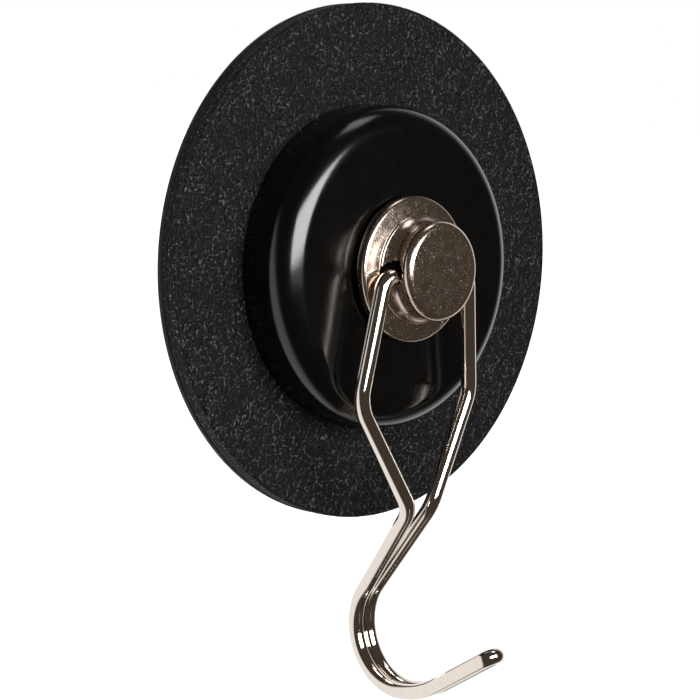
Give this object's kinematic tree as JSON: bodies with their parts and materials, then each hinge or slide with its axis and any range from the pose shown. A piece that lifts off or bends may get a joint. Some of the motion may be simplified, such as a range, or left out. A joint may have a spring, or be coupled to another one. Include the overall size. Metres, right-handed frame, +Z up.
{
  "type": "magnetic swivel hook",
  "caption": "Round black pot magnet on a grained leather pad, with a nickel hub that swivels and a doubled-wire hook that hangs and swings from the hub's cross-hole.",
  "frame": {"origin": "centre of the pad's flat back face, which rests on the steel wall", "axes": "+Y into the wall, the hub points towards -Y, +Z up, the hook hangs towards -Z"},
  "size_m": [0.093, 0.0384, 0.1244],
  "materials": {
    "pad_rubber": "smooth, matt",
    "core_leather": "fibrous, matt",
    "face_leather": "pebbled grain, satin",
    "cup_paint": "gloss black paint",
    "cover_plastic": "matt",
    "ring_plastic": "natural nylon, matt",
    "magnet_nickel": "sintered, nickel plated",
    "bush_brass": "machined",
    "washer_black": "smooth, matt",
    "hub_nickel": "pearl nickel plate, finely speckled",
    "washer_steel": "zinc plated",
    "clip_steel": "blued spring steel",
    "hook_nickel": "polished bright nickel plate"
  },
  "bodies": {
    "base": {"rear_ply": "pad_rubber", "core_ply": "core_leather", "face_ply": "face_leather", "magnet_cup": "cup_paint", "magnet_cover": "cover_plastic", "centring_ring": "ring_plastic", "ring_magnet": "magnet_nickel", "swivel_bush": "bush_brass", "hub_washer": "washer_black"},
    "hub": {"swivel_hub": "hub_nickel", "thrust_washer": "washer_steel", "retaining_clip": "clip_steel"},
    "hook": {"wire_hook": "hook_nickel"}
  },
  "joints": [
    {"name": "hub_swivel", "type": "hinge", "parent": "base", "child": "hub", "pos_m": [0, -0.0155, 0], "axis": [0, -1, 0], "continuous": true},
    {"name": "hook_swing", "type": "hinge", "parent": "hub", "child": "hook", "pos_m": [0, -0.0206, -0.0006], "axis": [-1, 0, 0], "range_deg": [0, 170]}
  ]
}
